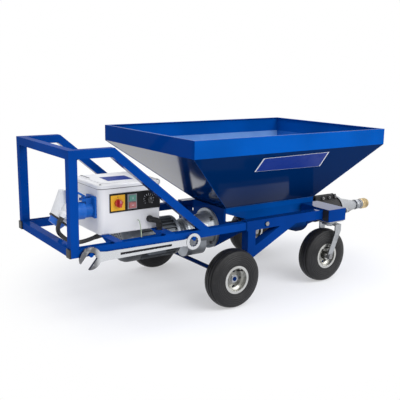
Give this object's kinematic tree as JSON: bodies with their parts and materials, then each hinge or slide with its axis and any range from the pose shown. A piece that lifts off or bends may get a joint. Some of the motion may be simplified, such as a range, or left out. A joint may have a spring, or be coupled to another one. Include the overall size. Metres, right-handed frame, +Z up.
{
  "type": "grout pump",
  "caption": "Wheeled hopper pump: a geared motor turns a feed screw and an eccentric rotor in a clamped stator, behind a tubular guard with a control box.",
  "frame": {"origin": "on the floor, under the middle of the machine's length and width", "axes": "+X from the motor end to the outlet end, +Y to the left seen from behind, +Z up"},
  "size_m": [2.003, 0.808, 0.768],
  "materials": {
    "blue_paint": "semi-gloss powder coat",
    "navy_paint": "semi-gloss powder coat",
    "hopper_paint": "semi-gloss powder coat",
    "zinc_steel": "zinc plated",
    "bolt_steel": "zinc plated",
    "wrench_steel": "satin plated",
    "cast_silver": "cast, silver paint",
    "cowl_grey": "satin paint",
    "shaft_steel": "turned",
    "screw_steel": "worn bright steel",
    "tyre_rubber": "matt rubber",
    "stator_rubber": "matt rubber",
    "box_white": "satin moulded",
    "black_plastic": "satin moulded",
    "fascia_black": "satin with yellow switch plate",
    "red_plastic": "gloss",
    "green_plastic": "gloss",
    "knob_black": "satin",
    "inlet_blue": "satin moulded",
    "connector_white": "white hood, blue sleeve and nut",
    "cord_black": "matt rubber sheath",
    "conduit_black": "satin",
    "wire_white": "satin sheath",
    "brass": "machined"
  },
  "bodies": {
    "chassis": {"front_frame": "navy_paint", "cage_side_left": "blue_paint", "cage_side_right": "blue_paint", "cage_cross_tubes": "blue_paint", "end_plugs": "black_plastic", "front_platform": "navy_paint", "drive_plate": "navy_paint", "chassis_bolts": "bolt_steel", "hopper": "hopper_paint", "trough": "hopper_paint", "rear_axle": "navy_paint", "axle_collars": "zinc_steel", "caster_plate_left": "zinc_steel", "caster_plate_right": "zinc_steel", "gearbox_case": "cast_silver", "motor_end_bell": "cast_silver", "motor_frame": "cowl_grey", "fan_cowl": "cowl_grey", "seal_housing": "shaft_steel", "pump_inlet": "blue_paint", "pump_stator": "stator_rubber", "stator_clamp": "zinc_steel", "clamp_bolts": "bolt_steel", "tie_rods": "bolt_steel", "outlet_reducer": "zinc_steel", "hose_coupling": "zinc_steel", "box_brackets": "blue_paint", "enclosure_body": "box_white", "enclosure_lid": "box_white", "box_screws": "black_plastic", "control_fascia": "fascia_black", "power_inlet": "inlet_blue", "power_connector": "connector_white", "lead_gland": "black_plastic", "power_lead": "cord_black", "motor_conduit": "conduit_black", "earth_wire": "wire_white"},
    "rear_wheel_left": {"rear_tyre_left": "tyre_rubber", "rear_rim_left": "zinc_steel"},
    "rear_wheel_right": {"rear_tyre_right": "tyre_rubber", "rear_rim_right": "zinc_steel"},
    "caster_left": {"caster_fork_left": "zinc_steel", "caster_bolt_left": "bolt_steel"},
    "caster_right": {"caster_fork_right": "zinc_steel", "caster_bolt_right": "bolt_steel"},
    "caster_wheel_left": {"caster_tyre_left": "tyre_rubber", "caster_rim_left": "zinc_steel"},
    "caster_wheel_right": {"caster_tyre_right": "tyre_rubber", "caster_rim_right": "zinc_steel"},
    "auger": {"feed_screw": "screw_steel", "pump_rotor": "shaft_steel"},
    "motor_rotor": {"motor_shaft": "shaft_steel", "cooling_fan": "black_plastic"},
    "isolator_handle": {"main_switch": "red_plastic"},
    "start_key": {"start_button": "green_plastic"},
    "stop_key": {"stop_button": "red_plastic"},
    "speed_dial": {"speed_knob": "knob_black"},
    "inlet_cover": {"inlet_cap": "inlet_blue"},
    "coupling_nut": {"hose_nut": "brass"},
    "wrench_body": {"wrench": "wrench_steel"}
  },
  "joints": [
    {"name": "rear_wheel_left_spin", "type": "hinge", "parent": "chassis", "child": "rear_wheel_left", "pos_m": [-0.2565, 0.347, 0.135], "axis": [0, 1, 0], "continuous": true},
    {"name": "rear_wheel_right_spin", "type": "hinge", "parent": "chassis", "child": "rear_wheel_right", "pos_m": [-0.2565, -0.347, 0.135], "axis": [0, 1, 0], "continuous": true},
    {"name": "caster_left_swivel", "type": "hinge", "parent": "chassis", "child": "caster_left", "pos_m": [0.4015, 0.29, 0.29], "axis": [0, 0, 1], "continuous": true},
    {"name": "caster_right_swivel", "type": "hinge", "parent": "chassis", "child": "caster_right", "pos_m": [0.4015, -0.29, 0.29], "axis": [0, 0, 1], "continuous": true},
    {"name": "caster_wheel_left_spin", "type": "hinge", "parent": "caster_left", "child": "caster_wheel_left", "pos_m": [0.3565, 0.29, 0.135], "axis": [0, 1, 0], "continuous": true},
    {"name": "caster_wheel_right_spin", "type": "hinge", "parent": "caster_right", "child": "caster_wheel_right", "pos_m": [0.3565, -0.29, 0.135], "axis": [0, 1, 0], "continuous": true},
    {"name": "auger_spin", "type": "hinge", "parent": "chassis", "child": "auger", "pos_m": [0.1435, 0, 0.278], "axis": [1, 0, 0], "continuous": true},
    {"name": "motor_spin", "type": "hinge", "parent": "chassis", "child": "motor_rotor", "pos_m": [-0.4565, 0, 0.272], "axis": [1, 0, 0], "continuous": true},
    {"name": "isolator_turn", "type": "hinge", "parent": "chassis", "child": "isolator_handle", "pos_m": [-0.7325, -0.18, 0.498], "axis": [0, 1, 0], "range_deg": [0, 90]},
    {"name": "start_press", "type": "slide", "parent": "chassis", "child": "start_key", "axis": [0, 1, 0], "range_m": [0, 0.004], "stiffness_N_per_m": 300, "springref_m": -0.002},
    {"name": "stop_press", "type": "slide", "parent": "chassis", "child": "stop_key", "axis": [0, 1, 0], "range_m": [0, 0.004], "stiffness_N_per_m": 300, "springref_m": -0.002},
    {"name": "speed_turn", "type": "hinge", "parent": "chassis", "child": "speed_dial", "pos_m": [-0.5855, -0.18, 0.499], "axis": [0, -1, 0], "range_deg": [-135, 135]},
    {"name": "cap_swing", "type": "hinge", "parent": "chassis", "child": "inlet_cover", "pos_m": [-0.8625, -0.104, 0.513], "axis": [0, 1, 0], "range_deg": [-10.5, 40]},
    {"name": "nut_spin", "type": "hinge", "parent": "chassis", "child": "coupling_nut", "pos_m": [0.9735, 0, 0.278], "axis": [1, 0, 0], "continuous": true},
    {"name": "wrench_lift_off", "type": "slide", "parent": "chassis", "child": "wrench_body", "axis": [0, -1, 0], "range_m": [0, 0.04]}
  ],
  "couplings": [
    {"joint": "motor_spin", "follows": "auger_spin", "ratio": 10}
  ]
}
